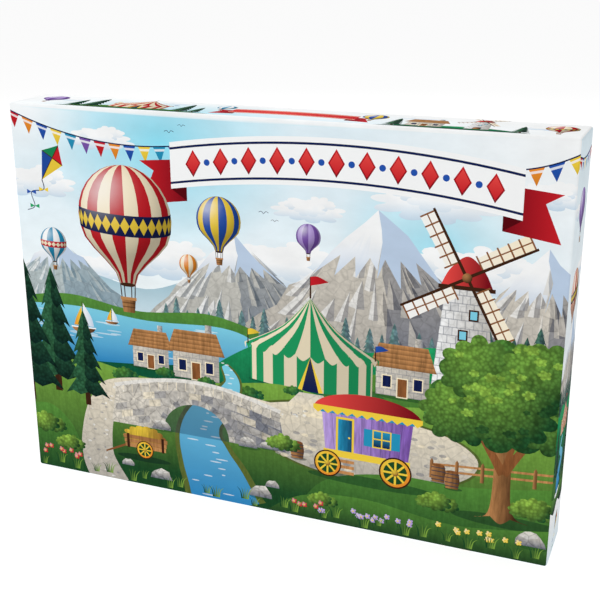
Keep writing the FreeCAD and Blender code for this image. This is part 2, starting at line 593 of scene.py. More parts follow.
def big_top(pic, *cloths):
    """A round striped show tent with three flags."""
    pic.oval(0.04, 0, 0.56, 0.05, EMERALD_DARK, cover=0.55)
    stripes = 14
    seams = [0.5 * math.sin(math.pi * (k / stripes - 0.5)) for k in range(stripes + 1)]
    for k, (u0, u1) in enumerate(zip(seams, seams[1:])):
        wall = [(u0, 0.16 * u0 ** 2 - 0.04), (u1, 0.16 * u1 ** 2 - 0.04), (u1, 0.3), (u0, 0.3)]
        pic.draw(wall, dim(cloths[k % 2], 0.95 - 0.4 * k / stripes))
    door = (0, 0.246)
    pic.draw([(-0.07, -0.04), door, (0.07, -0.04)], upright(NAVY, STONE_DEEP, 0, 0.3))
    for side in (1, -1):
        pic.draw([door, (0.07 * side, -0.04), (0.105 * side, -0.035)], YELLOW)
    peak = (0, 0.72)
    for k, (u0, u1) in enumerate(zip(seams, seams[1:])):
        low = 0.25 + 0.2 * u0 ** 2
        left, right = (1.1 * u0, low), (1.1 * u1, low)
        outline = smooth(peak, (0.462 * u0, 0.4764), left, steps=4)[:-1]
        outline += smooth(left, (0.55 * (u0 + u1), low - 0.045), right, steps=4)
        outline += smooth(right, (0.462 * u1, 0.4764), peak, steps=4)[1:-1]
        pic.draw(outline, dim(cloths[(k + 1) % 2], 1.04 - 0.5 * k / stripes))
    scatter(pic, pennant, (0, 0.72, 0.17, RED), (-0.52, 0.29, 0.12, YELLOW), (0.52, 0.29, 0.12, ROYAL))


def wheel(pic):
    """A spoked wheel of radius 1."""
    pic.oval(0, 0, 1, 1, BROWN_DARK)
    pic.oval(0, 0, 0.9, 0.9, lit_round(0, 0, 1, YELLOW, ORANGE))
    pic.oval(0, 0, 0.72, 0.72, LEAF_DARK)
    for k in range(4):
        pic.line(spin([(-0.75, 0), (0.75, 0)], math.pi * k / 4), 0.13, 0.13, YELLOW)
    pic.oval(0, 0, 0.2, 0.2, lit_round(0, 0, 0.2, YELLOW, BROWN), points=14)


def wagon(pic):
    """A painted show wagon with a round roof, a shuttered window and steps."""
    pic.oval(0.05, 0.01, 0.6, 0.05, LEAF_DARK, cover=0.7)
    body = [(-0.38, 0.24), (0.38, 0.24), (0.42, 0.66), (-0.42, 0.66)]
    pic.draw(body, across(LILAC, PURPLE, -0.42, 0.42), WOODEN)
    thin = 0.7 / pic.scale
    for k in range(1, 9):
        share = k / 9 - 0.5
        pic.line([(0.76 * share, 0.24), (0.84 * share, 0.66)], thin, thin, NAVY, cover=0.4)
    pic.box(-0.4, 0.21, 0.4, 0.275, YELLOW)
    pic.box(-0.43, 0.625, 0.43, 0.66, TURQUOISE)
    pic.draw(arc(0, 0.65, 0.5, 0.19, 16), across(RED_LIGHT, RED_DARK, -0.42, 0.42))
    hem = [(k / 22 - 0.5, 0.615 if k % 2 else 0.65) for k in range(23)]
    pic.draw(hem + [(0.5, 0.69), (-0.5, 0.69)], YELLOW)
    window = pic.at(0.14, 0.37, 0.075)
    for side in (-1.65, 1.65):
        window.box(side - 0.55, -0.1, side + 0.55, 2.1, TURQUOISE)
    window.box(-1.15, -0.15, 1.15, 2.15, YELLOW)
    window.box(-1, 0, 1, 2, upright(NAVY, TURQUOISE, 0, 2))
    window.box(-0.08, 0, 0.08, 2, YELLOW)
    window.box(-1, 0.92, 1, 1.08, YELLOW)
    pic.box(-0.285, 0.27, -0.115, 0.6, YELLOW)
    pic.box(-0.265, 0.275, -0.135, 0.58, across(TURQUOISE, NAVY, -0.26, -0.11), WOODEN)
    pic.oval(-0.16, 0.41, 0.01, 0.01, YELLOW, points=10)
    for low in (0.05, 0.105, 0.16):
        pic.box(-0.29, low, -0.11, low + 0.03, BROWN_LIGHT, WOODEN)
    scatter(pic, wheel, (-0.36, 0.13, 0.13), (0.27, 0.15, 0.15))


def hay_cart(pic):
    """A plank cart heaped with hay, with its shaft on the ground."""
    pic.oval(-0.05, 0, 0.62, 0.07, PINE_DARK, cover=0.6)
    pic.line([(-0.4, 0.28), (-0.95, 0.02)], 0.05, 0.035, BROWN)
    pic.draw(scalloped(0, 0.46, 0.47, 0.27, 15, 0.08, 4), lit_round(0, 0.46, 0.42, YELLOW, BROWN), WOODEN)
    for k in range(3):
        low, half = 0.22 + 0.095 * k, 0.47 + 0.02 * k
        pic.box(-half, low, half, low + 0.085, mix(BROWN_LIGHT, BROWN, 0.25 * k), WOODEN)
    for u in (-0.4, 0.4):
        pic.box(u - 0.03, 0.2, u + 0.03, 0.52, BROWN_DARK, WOODEN)
    wheel(pic.at(-0.02, 0.2, 0.2))


def barrel(pic):
    """A wooden barrel with dark hoops."""
    left = smooth((-0.4, 0), (-0.5, 0.6), (-0.4, 1.2))
    pic.oval(0.1, 0, 0.6, 0.12, PINE_DARK, cover=0.6)
    pic.draw(left + [(-u, v) for u, v in left[::-1]], timber(-0.5, 0.6), WOODEN)
    for low in (0.14, 0.4, 0.74, 1.0):
        pic.box(-0.47, low, 0.47, low + 0.07, STONE_DEEP, cover=0.85)
    pic.oval(0, 1.2, 0.4, 0.1, BROWN, WOODEN)


def bridge(pic, rise):
    """A humped bridge of cut stone over one round arch, drawn from its left end, with its span as 1."""
    foot, radius = -0.17, 0.2

    def deck(share, lift=0.0):
        return (share, rise * math.sin(math.pi * share) + lift)

    def slab(start, end, low, high):
        return [deck(start, low), deck(end, low), deck(end, high), deck(start, high)]

    def opening(reach, start=0.0, end=1.0, count=16):
        turns = [math.pi * (start + (end - start) * k / count) for k in range(count + 1)]
        return [(0.5 + reach * math.cos(a), foot + 0.92 * reach * math.sin(a)) for a in turns]

    pic.draw(opening(radius), NAVY, cover=0.45)
    top = [k / 16 for k in range(17)]
    body = [deck(share) for share in top] + [(1.03, foot)] + opening(radius) + [(-0.03, foot)]
    pic.draw(body, across(STONE_LIGHT, STONE_DARK, 0, 1), STONY)
    for row in range(1, 6):
        for k in range(14):
            start, low = (k + 0.5 * (row % 2)) / 14, -0.048 * row
            block = slab(start, min(start + 1 / 14, 1), low, low + 0.04)
            if all(math.hypot(u - 0.5, (v - foot) / 0.92) > 1.15 * radius and v > foot for u, v in block):
                pic.draw(block, (STONE_LIGHT, STONE, STONE_DARK, CREAM)[(3 * k + 5 * row) % 4], STONY, 0.45)
    for k in range(17):
        start, end = (k + 0.06) / 17, (k + 0.94) / 17
        inner, outer = opening(radius, start, end, 1), opening(1.17 * radius, start, end, 1)
        stone = mix(STONE_LIGHT, STONE_DARK, 0.15 + 0.3 * (k % 3) + 0.1 * (k < 6))
        pic.draw([inner[0], *outer, inner[1]], stone, STONY)
    for k in range(18):
        kerb = slab((k + 0.05) / 18, (k + 0.95) / 18, -1 / pic.scale, 0.05)
        pic.draw(kerb, mix(STONE_LIGHT, STONE, (7 * k % 5) / 5), STONY)
    pic.line([deck(share, 0.058) for share in top], 0.022, 0.022, mix(STONE_LIGHT, WHITE, 0.4), DUSTY)


def boat(pic):
    """A small sailing boat and its reflection."""
    pic.oval(0, -0.04, 0.6, 0.07, WHITE, cover=0.35)
    hull = smooth((-0.5, 0.17), (-0.3, 0), (0.3, 0), (0.52, 0.19))
    pic.draw(hull, timber(-0.5, 0.5), WOODEN)
    pic.line([hull[0], hull[-1]], 0.05, 0.05, WHITE)
    pic.line([(0, 0.16), (0, 1.15)], 0.035, 0.02, BROWN_DARK)
    main_sail = smooth((0.03, 1.1), (0.34, 0.62), (0.44, 0.24)) + [(0.03, 0.24)]
    pic.draw(main_sail, across(WHITE, SNOW_SHADE, 0, 0.5))
    jib = smooth((-0.03, 0.98), (-0.26, 0.56), (-0.38, 0.24)) + [(-0.03, 0.24)]
    pic.draw(jib, across(ORANGE, YELLOW, -0.4, 0))


def kite(pic, turn):
    """A diamond kite with a bowed tail, drawn round its middle."""
    colours = (RED, YELLOW, ROYAL, EMERALD)
    tail = smooth(*spin([(0, -1.35), (0.35, -1.8), (-0.25, -2.4), (0.3, -3), (0, -3.5)], -turn), steps=6)
    pic.line(tail, 0.06, 0.04, NAVY)
    for k in (1, 2, 3):
        u, v = tail[6 * k]
        for side in (-0.3, 0.3):
            pic.draw([(u, v), (u + side, v + 0.14), (u + side, v - 0.12)], colours[k])
    middle, *corners = spin([(0, 0.15), (0, 1), (0.75, 0.15), (0, -1.35), (-0.75, 0.15)], -turn)
    for k in range(4):
        pic.draw([middle, corners[k], corners[(k + 1) % 4]], dim(colours[k], 1 - 0.12 * k))
    for first, last in ((0, 2), (3, 1)):
        pic.line([corners[first], corners[last]], 0.05, 0.05, BROWN_DARK)


def bunting(pic, start, end, sag, count, size, colours):
    """A string of small triangular flags between two points."""
    def place(share):
        u, v = mix(start, end, share)
        return (u, v - 4 * sag * share * (1 - share))

    for k in range(count):
        a, b = place((k + 0.08) / count), place((k + 0.92) / count)
        tip = ((a[0] + b[0]) / 2 + 0.06 * size, (a[1] + b[1]) / 2 - size)
        colour = colours[k % len(colours)]
        pic.draw([a, tip, b], upright(dim(colour, 0.78), colour, tip[1], a[1]))
        stripe = [mix(a, tip, 0.16), mix(b, tip, 0.16), mix(b, tip, 0.3), mix(a, tip, 0.3)]
        pic.draw(stripe, WHITE, cover=0.75)
    pic.line([place(k / 24) for k in range(25)], 1.1, 1.1, NAVY)


def ribbon(pic, width, height, rise, colour=RED, light=RED_LIGHT, edge=CREAM, lozenges=0):
    """A ribbon with folded, notched tails, a line along each edge and a row of lozenges, or bare."""
    def along(x, level):
        return (x, height * level + rise * (1 - (2 * x / width) ** 2))

    def strip(low, high):
        xs = [width * (k / 24 - 0.5) for k in range(25)]
        return [along(x, low) for x in xs] + [along(x, high) for x in xs[::-1]]

    def shine(u, v):
        return mix(colour, light, 0.9 - 1.4 * abs(u / width + 0.12))

    for side in (-1, 1):
        fold, inner, outer = [side * (width / 2 + reach * height) for reach in (0, -0.375, 0.75)]
        notch = (outer - side * 0.3375 * height, 0.36 * height)
        tail = [along(inner, -0.3), (outer, -0.4 * height), notch, (outer, 0.56 * height), along(inner, 0.6)]
        pic.draw(tail, across(RED_DARK, RED, inner, outer))
        pic.draw([along(fold, 0), along(inner, 0), along(inner, -0.3)], dim(RED_DARK, 0.5))
    pic.draw(strip(0, 1), shine)
    for low in (0.1, 0.84):
        pic.draw(strip(low, low + 0.05), edge)
    for k in range(lozenges):
        x = 0.94 * width * ((k + 0.5) / lozenges - 0.5)
        for reach, low, high in ((0.29, RED_DARK, RED), (0.232, RED, RED_LIGHT)):
            foot, head = along(x, 0.495 - reach), along(x, 0.495 + reach)
            right, left = [along(x + side * reach * height, 0.495) for side in (0.62, -0.62)]
            pic.draw([foot, right, head, left], upright(low, high, foot[1], head[1]))
        if k:
            dot = along(x - 0.47 * width / lozenges, 0.495)
            pic.oval(*dot, 0.07 * height, 0.07 * height, ROYAL, points=12)


def fence(pic, start, end, posts):
    """A rail fence between two places on the ground."""
    for lift in (6, 12):
        pic.line([(start[0], start[1] + lift), (end[0], end[1] + lift + 0.5)], 2, 2, BROWN_LIGHT, WOODEN)
    for k in range(posts):
        post = pic.at(*mix(start, end, k / (posts - 1)))
        post.draw([(-1.6, -1), (1.6, -1), (1.5, 15), (0, 17.5), (-1.5, 15)], timber(-2, 2), WOODEN)


def bird(pic):
    """A gliding bird, seen from afar."""
    pic.line(smooth((-0.5, 0.1), (-0.22, 0.2), (0, 0), (0.22, 0.2), (0.5, 0.1), steps=5), 0.05, 0.05, NAVY)


# The pictures on the faces


def far_country(pic):
    """The front's clouds, mountains and distant woods."""
    scatter(pic, cloud, (92, 330, 60, 1), (392, 300, 96, 4), (20, 286, 84, 7),
            (286, 284, 60, 9), (480, 312, 60, 12), (84, 212, 70, 15),
            (262, 232, 120, 18), (150, 226, 100, 21), (420, 244, 120, 24))
    hill(pic, 120, upright(SKY_PALE, FAR_BLUE, 150, 214), (-5, 196), (60, 208), (130, 198), (190, 214),
         (260, 200), (340, 216), (430, 204), (505, 212), texture=MISTY)
    for u, top, left, right, base, *look in (
        (40, 240, -40, 128, 168, 11, 0.45), (218, 258, 120, 330, 166, 5, 0.12), (482, 272, 386, 570, 160, 8),
        (346, 290, 214, 480, 160, 3),
    ):
        tall = top - base
        mountain(pic.at(u, base, tall), (left - u) / tall, (right - u) / tall, *look)
    for k in range(34):
        pine(pic.at(150 + 10.6 * k, 162 + 5 * math.sin(1.7 * k), 26 + 6 * math.sin(2.9 * k)), 0.35)
    hill(pic, 100, upright(EMERALD_DARK, LEAF, 130, 184), (-5, 176), (50, 184), (120, 176), (190, 182),
         (240, 172))


def lake(pic, rng):
    """The front's lake with ripples and two boats."""
    shore = smooth((-5, 170), (60, 173), (130, 168), (205, 171), (236, 160), (214, 142), (150, 128),
                   (60, 120), (-5, 122), steps=6)
    pic.draw(shore, upright(WATER, WATER_LIGHT, 122, 172), MISTY)
    for _ in range(26):
        u, v, length = rng.uniform(0, 190), rng.uniform(128, 166), rng.uniform(8, 26)
        pic.oval(u, v, length / 2, 0.7, WHITE, points=12, cover=rng.uniform(0.25, 0.6))
    scatter(pic, boat, (62, 148, 26), (93, 160, 14))


def village(pic):
    """The front's windmill, cottages and show tent on their hills."""
    hill(pic, 90, upright(EMERALD_DARK, EMERALD, 96, 180), (158, 96), (196, 134), (236, 160), (262, 170),
         (330, 166), (400, 180), (460, 172), (505, 178))
    for k in range(7):
        pine(pic.at(440 + 10 * k, 160 + 4 * math.cos(3 * k), 38 + 8 * math.sin(5 * k)), 0.12)
    windmill(pic.at(420, 144, 136))
    hill(pic, 40, upright(LEAF_DARK, LEAF, 80, 150), (300, 140), (360, 150), (430, 146), (505, 152))
    scatter(pic, cottage, (132, 122, 40), (178, 118, 50), (370, 132, 50))
    big_top(pic.at(288, 128, 112), EMERALD, CREAM)
    hill(pic, -5, upright(LEAF_DARK, mix(LEAF, LEAF_LIGHT, 0.5), 20, 124), (-5, 118), (60, 122),
         (130, 112), (200, 118), (260, 126), (330, 118), (400, 126), (505, 122))


def paved_square(pic, rng):
    """The front's paved square and the bushes behind it."""
    square = smooth((222, 92), (238, 106), (290, 116), (350, 114), (412, 104), (440, 84), (420, 60),
                    (350, 44), (276, 52), (232, 74), closed=True)
    pic.draw(square, mix(OLIVE, LEAF_DARK, 0.6), GRASSY)
    paving = [(331 + 0.975 * (u - 331), 81 + 0.94 * (v - 81)) for u, v in square]
    pic.draw(paving, upright(STONE, mix(CREAM, STONE_LIGHT, 0.5), 44, 112), DUSTY)
    for k in range(170):
        turn, out = rng.uniform(0, math.tau), math.sqrt(rng.random())
        u, v = 331 + 100 * out * math.cos(turn), 80 + 31 * out * math.sin(turn)
        flat = 2.6 - 0.012 * v
        stone = (STONE_LIGHT, STONE, STONE_DARK, CREAM)[k % 4]
        pic.oval(u, v, 2.2 * flat, flat, stone, STONY, points=7, cover=0.55)
    for k in range(12):
        place = pic.at(20 + 42 * k, 114 + 6 * math.sin(2.3 * k), 20 + 6 * math.sin(4.1 * k))
        bush(place, 30 + k, LEAF, EMERALD_DARK)


def stream_and_path(pic, rng):
    """The front's stream, which widens towards the viewer, and the path that crosses it."""
    stream = smooth((206, 136), (214, 120), (204, 100), (186, 82), (180, 62), (186, 40), (196, 18), (206, -8))
    pic.line(stream, 8, 84, mix(OLIVE, LEAF_DARK, 0.5), GRASSY)
    pic.line(stream, 5, 70, upright(WATER, WATER_LIGHT, 0, 130), MISTY)
    for k in range(30):
        (u, v), reach = stream[int(k * len(stream) / 30)], 2 + 0.85 * k
        u += rng.uniform(-reach, reach)
        pic.oval(u, v + 2, rng.uniform(1.5, 2 + 0.25 * k), 0.7, WHITE, points=10, cover=0.55)
    pic.draw([(278, 122), (300, 122), (318, 100), (258, 100)], upright(CREAM, STONE_LIGHT, 100, 124), DUSTY)
    path = smooth((282, 104), (258, 98), (176, 104), (96, 94), (78, 76), (70, 48), (70, 20), (84, -8))
    pic.line(path, 14, 40, upright(STONE, mix(CREAM, STONE_LIGHT, 0.5), -5, 120), DUSTY)
    for k in range(60):
        (u, v), reach = path[int(k * len(path) / 60)], 2 + 0.24 * k
        u, v = u + rng.uniform(-reach, reach), v + rng.uniform(-3, 3)
        wide, tall = rng.uniform(0.8, 2.4), rng.uniform(0.6, 1.4)
        pic.oval(u, v, wide, tall, STONE_DARK if k % 2 else WHITE, points=9, cover=0.5)
    bridge(pic.at(92, 90, 168), 15 / 168)


def near_ground(pic):
    """What stands on the grass at the front's foot."""
    hill(pic, -8, upright(LEAF_DARK, LEAF, 0, 70), (268, -6), (300, 40), (360, 58), (430, 60), (505, 72))
    fence(pic, (398, 64), (506, 72), 6)
    wagon(pic.at(340, 46, 98))
    scatter(pic, barrel, (404, 60, 13), (416, 56, 13), (276, 58, 13))
    leafy_tree(pic.at(458, 34, 168), 21)
    scatter(pic, pine, (30, 84, 124), (-2, 70, 150), (62, 74, 96))
    hill(pic, -8, upright(LEAF_DARK, LEAF, 0, 72), (-5, 66), (20, 68), (42, 50), (52, 22), (50, -6))
    hill(pic, -8, upright(PINE_DARK, LEAF, -6, 34), (238, -6), (280, 22), (340, 30), (420, 22), (505, 34))
    hay_cart(pic.at(122, 28, 46))
    scatter(pic, boulder, (102, 18, 14, 1), (138, 10, 22, 2), (252, 24, 14, 3), (240, 12, 24, 4),
            (484, 16, 26, 6), (140, 62, 20, 7), (228, 60, 20, 8), (246, 62, 13, 9))
    scatter(pic, bush, (12, 42, 40, 50), (38, 26, 30, 53), (404, 36, 34, 56), (300, 18, 26, 59),
            (486, 44, 40, 62), (262, 66, 30, 65))
    scatter(pic, flowers, (30, 14, 1, 54, 9, RED, 1), (340, 8, 1, 90, 14, LILAC, 2),
            (440, 12, 1, 70, 11, YELLOW, 3), (286, 10, 1, 30, 5, RED, 4))
    for k in range(26):
        place = pic.at(6 + 19.4 * k + 5 * math.sin(3 * k), 2 + 5 * math.sin(1.3 * k) ** 2)
        tuft(place, 9 + 4 * math.sin(2.1 * k) ** 2, k)


def balloons_over_a_valley(pic):
    """The large picture on the front."""
    rng = random.Random(11)
    far_country(pic)
    lake(pic, rng)
    village(pic)
    paved_square(pic, rng)
    stream_and_path(pic, rng)
    near_ground(pic)
    flags = (RED, ORANGE, ROYAL, YELLOW, TURQUOISE, PURPLE)
    bunting(pic, (-4, 352), (172, 330), 12, 12, 14, flags)
    bunting(pic, (446, 330), (504, 348), 4, 4, 14, flags)
    ribbon(pic.at(310, 292), 300, 40, 13, WHITE, WHITE, NAVY, 11)
    scatter(pic, balloon, (112, 262, 47, (RED, CREAM), (NAVY, YELLOW), 10),
            (204, 268, 21, (ROYAL, YELLOW), None, 8), (286, 262, 11, (PURPLE, LILAC)),
            (36, 232, 14, (TURQUOISE, WHITE), (RED, CREAM)), (174, 226, 9, (ORANGE, CREAM)))
    kite(pic.at(40, 308, 16), 0.55)
    scatter(pic, bird, (246, 278, 9), (256, 272, 7), (160, 340, 9), (172, 346, 7))


def fair_on_a_strip(pic):
    """The long narrow picture on the upper and lower sides."""
    scatter(pic, cloud, (40, 34, 44, 2), (150, 46, 40, 5), (372, 44, 46, 8), (468, 30, 44, 11))
    hill(pic, 3, upright(LEAF_DARK, LEAF, 3, 18), (44, 3), (96, 17), (150, 12), (196, 3))
    scatter(pic, pine, (60, 5, 34), (76, 5, 44), (164, 5, 40), (178, 5, 28))
    big_top(pic.at(120, 13, 54), RED, CREAM)
    ribbon(pic.at(262, 17), 112, 19, 4)
    hill(pic, 3, upright(PINE_DARK, EMERALD, 3, 17), (338, 3), (372, 13), (420, 16), (462, 3))
    scatter(pic, pine, (352, 5, 34), (452, 5, 30))
    cottage(pic.at(376, 10, 32), dark_corner=True)
    windmill(pic.at(418, 10, 52))
    scatter(pic, balloon, (26, 36, 12, (PURPLE, LILAC)), (196, 40, 9, (TURQUOISE, WHITE)),
            (330, 38, 11, (ROYAL, YELLOW)), (480, 34, 13, (RED, CREAM), (NAVY, YELLOW)))


def valley_on_a_tall_strip(pic):
    """The tall narrow picture on the two ends."""
    scatter(pic, cloud, (16, 300, 40, 3), (46, 248, 36, 6))
    bunting(pic, (-3, 344), (pic.size[0] + 3, 344), 5, 6, 10, (RED, ROYAL, YELLOW, TURQUOISE, PURPLE))
    scatter(pic, balloon, (30, 300, 15, (PURPLE, LILAC), None, 8),
            (28, 232, 19, (RED, CREAM), (NAVY, YELLOW), 8))
    mountain(pic.at(34, 128, 86), -64 / 86, 58 / 86, 14)
    for k in range(8):
        pine(pic.at(1 + 8 * k, 126 + 3 * math.sin(2 * k), 32), 0.1)
    hill(pic, 60, upright(EMERALD_DARK, EMERALD, 84, 140), (-2, 134), (16, 140), (36, 132), (60, 138))
    big_top(pic.at(34, 112, 34), RED, CREAM)
    stream = smooth((30, 108), (22, 98), (34, 88), (20, 74), (26, 62))
    pic.line(stream, 3, 15, upright(WATER, WATER_LIGHT, 66, 108), MISTY)
    hill(pic, 50, upright(LEAF_DARK, LEAF, 50, 90), (-2, 90), (8, 84), (14, 74), (12, 60))
    hill(pic, 50, upright(LEAF_DARK, LEAF, 50, 90), (34, 60), (40, 78), (48, 88), (60, 92))
    scatter(pic, pine, (6, 72, 54), (52, 70, 60), (45, 62, 36))
    hill(pic, 40, upright(PINE_DARK, LEAF, 44, 62), (-2, 62), (20, 56), (40, 60), (60, 54))
    foot = upright(SKY_PALE, WHITE, 0, 48)
    hill(pic, -2, foot, (-2, 50), (14, 42), (30, 48), (46, 40), (60, 46), texture=BARE)
    kite(pic.at(34, 28, 8), 0.5)


# The folded trays


def turned(way, angle):
    """A flat direction, turned."""
    return Vector(spin([way], angle)[0])


class Tray:
    """One tray's skin, folded from its flat wrap.

    A place on the wrap is (s, t), from the middle of the panel. Beyond the panel's straight part it is
    on one of four walls, each with its way out, its way along, its reach from the middle and its half length.
    """

    def __init__(self, name, body, node, slot):
        low, high = [Vector(corner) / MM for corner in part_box(node)]
        self.name, self.body, self.node, self.slot = name, body, node, slot
        self.facing = -1 if node == "lid" else 1
        self.middle = (low.z + high.z) / 2
        self.panel_place = low.y if self.facing < 0 else high.y
        self.depth = high.y - low.y
        self.half = Vector(((high.x - low.x) / 2 - FOLD_RADIUS, (high.z - low.z) / 2 - FOLD_RADIUS))
        self.arc = FOLD_RADIUS * QUARTER
        self.wall_end = self.arc + self.depth - FOLD_RADIUS - RIM_RADIUS
        self.walls = []
        for way in (Vector((0, -1)), Vector((1, 0)), Vector((0, 1)), Vector((-1, 0))):
            along = turned(way, QUARTER)
            self.walls.append((way, along, abs(way.dot(self.half)), abs(along.dot(self.half))))
        self.places, self.normals, self.faces, self.slots, self.corners = [], [], [], [], []
        self.edge_paint = {}

    def sink(self, s, t):
        """How far the panel lies inside its true plane, and how fast that changes each way."""
        a, b = 1 - (s / self.half.x) ** 2, 1 - (t / self.half.y) ** 2
        if a <= 0 or b <= 0:
            return 0.0, Vector((0, 0))
        slope_s, slope_t = -2 * s / self.half.x ** 2 * b, -2 * t / self.half.y ** 2 * a
        return PANEL_SINK * a * b, Vector((PANEL_SINK * slope_s, PANEL_SINK * slope_t))

    def solid_place(self, flat, depth):
        """The place in the row's frame of a point that lies depth behind the panel's outer plane."""
        y = self.panel_place - self.facing * depth
        return Vector((-self.facing * flat.x, y, self.middle + flat.y)) * MM

    def solid_way(self, flat, depth):
        """A direction in the row's frame, from its share along the panel and into the box."""
        return Vector((-self.facing * flat.x, -self.facing * depth, flat.y)).normalized()

    def on_panel(self, s, t):
        """Whether a place on the wrap is on the panel's straight part."""
        return abs(s) <= self.half.x and abs(t) <= self.half.y

    def wall_of(self, s, t):
        """The wall that a place on the wrap is on, with how far out and along it lies, or None."""
        flat = Vector((s, t))
        for number, (way, along, reach, half) in enumerate(self.walls):
            out = flat.dot(way) - reach
            if out > SNAP and abs(flat.dot(along)) <= half + SNAP:
                return number, out, flat.dot(along)
        return None

    def lap(self, number, out, along):
        """How far a place on the wall lies below the lapped wrap near the corners of the long walls."""
        if number % 2:
            return LAP_STEP / 2
        if out < self.arc:
            return 0.0
        edge = self.walls[number][3] - LAP_WIDTH
        return LAP_STEP * min(max((edge + LAP_SLOPE - abs(along)) / LAP_SLOPE, 0.0), 1.0)

    def add(self, place, normal=None):
        """A new vertex, with its normal where it is on the outside."""
        self.places.append(place)
        self.normals.append(normal)
        return len(self.places) - 1

    def add_outer(self, base, way, out, lap):
        """A vertex on the outside of a wall or its fold, out along the wrap from the panel's edge."""
        turn = min(out / FOLD_RADIUS, QUARTER)
        depth = FOLD_RADIUS * (1 - math.cos(turn)) + max(out - self.arc, 0)
        flat = base + way * (FOLD_RADIUS * math.sin(turn) - lap)
        return self.add(self.solid_place(flat, depth), self.solid_way(way * math.sin(turn), -math.cos(turn)))

    def add_outside(self, s, t):
        """The vertex for a place on the flat wrap."""
        wall = self.wall_of(s, t)
        if wall is None:
            depth, slope = self.sink(s, t)
            return self.add(self.solid_place(Vector((s, t)), depth), self.solid_way(slope, -1))
        number, out, distance = wall
        way, along, reach, _ = self.walls[number]
        return self.add_outer(way * reach + along * distance, way, out, self.lap(number, out, distance))

    def face(self, slot, corners):
        """A new face. Each corner has its vertex, normal, colour, texture and place on the bake map."""
        self.faces.append([corner[0] for corner in corners])
        self.slots.append(slot)
        self.corners.extend(corner[1:] for corner in corners)

    def lay_out(self, pictures):
        """The flat wrap cut into triangles along folds and the outlines of the pictures."""
        points, lines = [], []

        def line(*ends):
            first = len(points)
            points.extend(ends)
            lines.extend((first + i, first + i + 1) for i in range(len(ends) - 1))

        signs = ((-1, -1), (1, -1), (1, 1), (-1, 1), (-1, -1))
        line(*[Vector((x * self.half.x, y * self.half.y)) for x, y in signs])
        for way, along, reach, half in self.walls:
            for out in [self.arc * k / FOLD_STEPS for k in range(1, FOLD_STEPS + 1)] + [self.wall_end]:
                line(way * (reach + out) - along * half, way * (reach + out) + along * half)
            for side in (-1, 1):
                for inset in (0, LAP_WIDTH, LAP_WIDTH - LAP_SLOPE, TRIM):
                    start, edge = self.arc if inset else 0, along * side * (half - inset)
                    line(way * (reach + start) + edge, way * (reach + self.wall_end) + edge)
        extent = self.half + Vector((self.wall_end, self.wall_end))
        for i in range(int(2 * extent.x / GRID)):
            for j in range(int(2 * extent.y / GRID)):
                flat = Vector((GRID * (i + 0.5 + 0.21 * (j % 2)) - extent.x, GRID * (j + 0.5) - extent.y))
                if self.wall_of(*flat) or self.on_panel(*flat):
                    points.append(flat)
        for picture in pictures:
            left, bottom = picture.corner
            for outline, *_ in picture.fields:
                line(*[Vector((left + u, bottom + v)) for u, v in outline + outline[:1]])
        flat, _, triangles, *_ = delaunay_2d_cdt(points, lines, [], 0, SNAP)
        return np.array([tuple(p) for p in flat]), np.array(triangles)

    def build_outside(self, pictures):
        """The printed or plain outside: the panel, the folds and the walls up to their rims."""
        flat, triangles = self.lay_out(pictures)
        middles = flat[triangles].mean(1)
        seen = {}
        for picture in pictures:
            own = np.flatnonzero(picture.holds(middles))
            seen.update((i, (picture, fields)) for i, fields in zip(own, picture.layers(middles[own])))
        here = {}
        for number, (triangle, middle) in enumerate(zip(triangles.tolist(), middles.tolist())):
            wall = None if self.on_panel(*middle) else self.wall_of(*middle)
            if not self.on_panel(*middle) and (wall is None or wall[1] > self.wall_end):
                continue
            colours, texture = [WHITE] * 3, BARE
            if number in seen:
                picture, fields = seen[number]
                colours = [picture.colour(fields, *flat[i]) for i in triangle]
                texture = picture.fields[fields[0]][2]
            for i in triangle:
                if i not in here:
                    here[i] = self.add_outside(*flat[i])
            indices = [here[i] for i in triangle]
            self.face(0, [
                (index, self.normals[index], colour, texture, tuple(flat[i]))
                for index, colour, i in zip(indices, colours, triangle)
            ])
            for k in range(3 if wall else 0):
                ends = {indices[k - 1]: colours[k - 1], indices[k]: colours[k]}
                self.edge_paint[frozenset(ends)] = (texture, ends)
        return flat, here

    def build_corner(self, number, edges):
        """The rounded corner between one wall and the next, from the vertices on their side edges."""
        way, along, reach, half = self.walls[number]
        base = way * reach + along * half
        columns = []
        for step in range(CORNER_STEPS + 1):
            column = edges[0] if step <= CORNER_STEPS // 2 else edges[1]
            if 0 < step < CORNER_STEPS:
                aside = turned(way, QUARTER * step / CORNER_STEPS)
                edge, column = column[1:], column[:1]
                for out, _ in edge:
                    lap = LAP_STEP / 2 * min(out / self.arc, 1)
                    column.append((out, self.add_outer(base, aside, out, lap)))
            columns.append(column)
        wide = self.arc / CORNER_STEPS
        for step in range(CORNER_STEPS):
            source = edges[0] if step < CORNER_STEPS // 2 else edges[1]
            left, right = columns[step], columns[step + 1]
            i = j = 0
            while i < len(left) - 1 or j < len(right) - 1:
                corner = [(*right[j], step + 1), (*left[i], step)]
                if j == len(right) - 1 or (i < len(left) - 1 and left[i + 1][0] <= right[j + 1][0]):
                    i += 1
                    corner.insert(0, (*left[i], step))
                else:
                    j += 1
                    corner.insert(0, (*right[j], step + 1))
                if len({index for _, index, _ in corner}) < 3:
                    continue
                colours, texture = self.column_paint(source, [out for out, _, _ in corner])
                self.face(0, [
                    (index, self.normals[index], colour, texture, tuple(base + way * out + along * wide * k))
                    for (out, index, k), colour in zip(corner, colours)
                ])
        return columns

